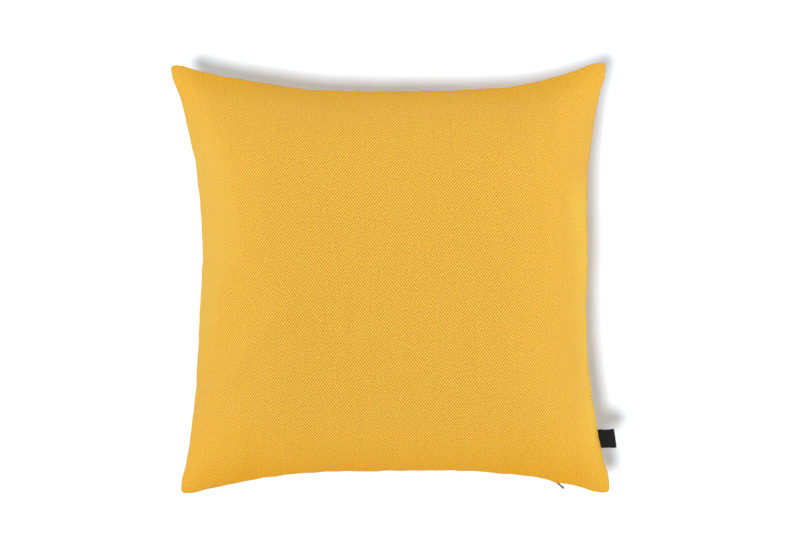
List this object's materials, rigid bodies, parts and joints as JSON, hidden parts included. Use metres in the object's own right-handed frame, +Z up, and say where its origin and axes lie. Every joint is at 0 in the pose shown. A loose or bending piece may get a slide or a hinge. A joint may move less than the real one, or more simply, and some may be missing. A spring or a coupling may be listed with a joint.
{
  "type": "square cushion",
  "caption": "Square filled cushion in thick plain-woven cloth, with a folded label in one seam and a zip in another.",
  "frame": {"origin": "middle of the flat spot on the back panel, where the cushion lies on a surface", "axes": "+Z up, from the back panel to the crown of the front panel; +X towards the seam that holds the label; +Y away from the seam that holds the zip"},
  "size_m": [0.4959, 0.4791, 0.147],
  "materials": {
    "cover_cloth": "matt thick plain weave in two close shades of golden yellow, light crossing threads over darker ones",
    "label_tape": "black woven satin tape, bare of lettering",
    "zip_metal": "darkened old-gold plating with worn bright edges"
  },
  "bodies": {
    "root": {"cushion": "cover_cloth", "label": "label_tape", "zip_slider": "zip_metal", "zip_pull": "zip_metal"}
  },
  "joints": []
}
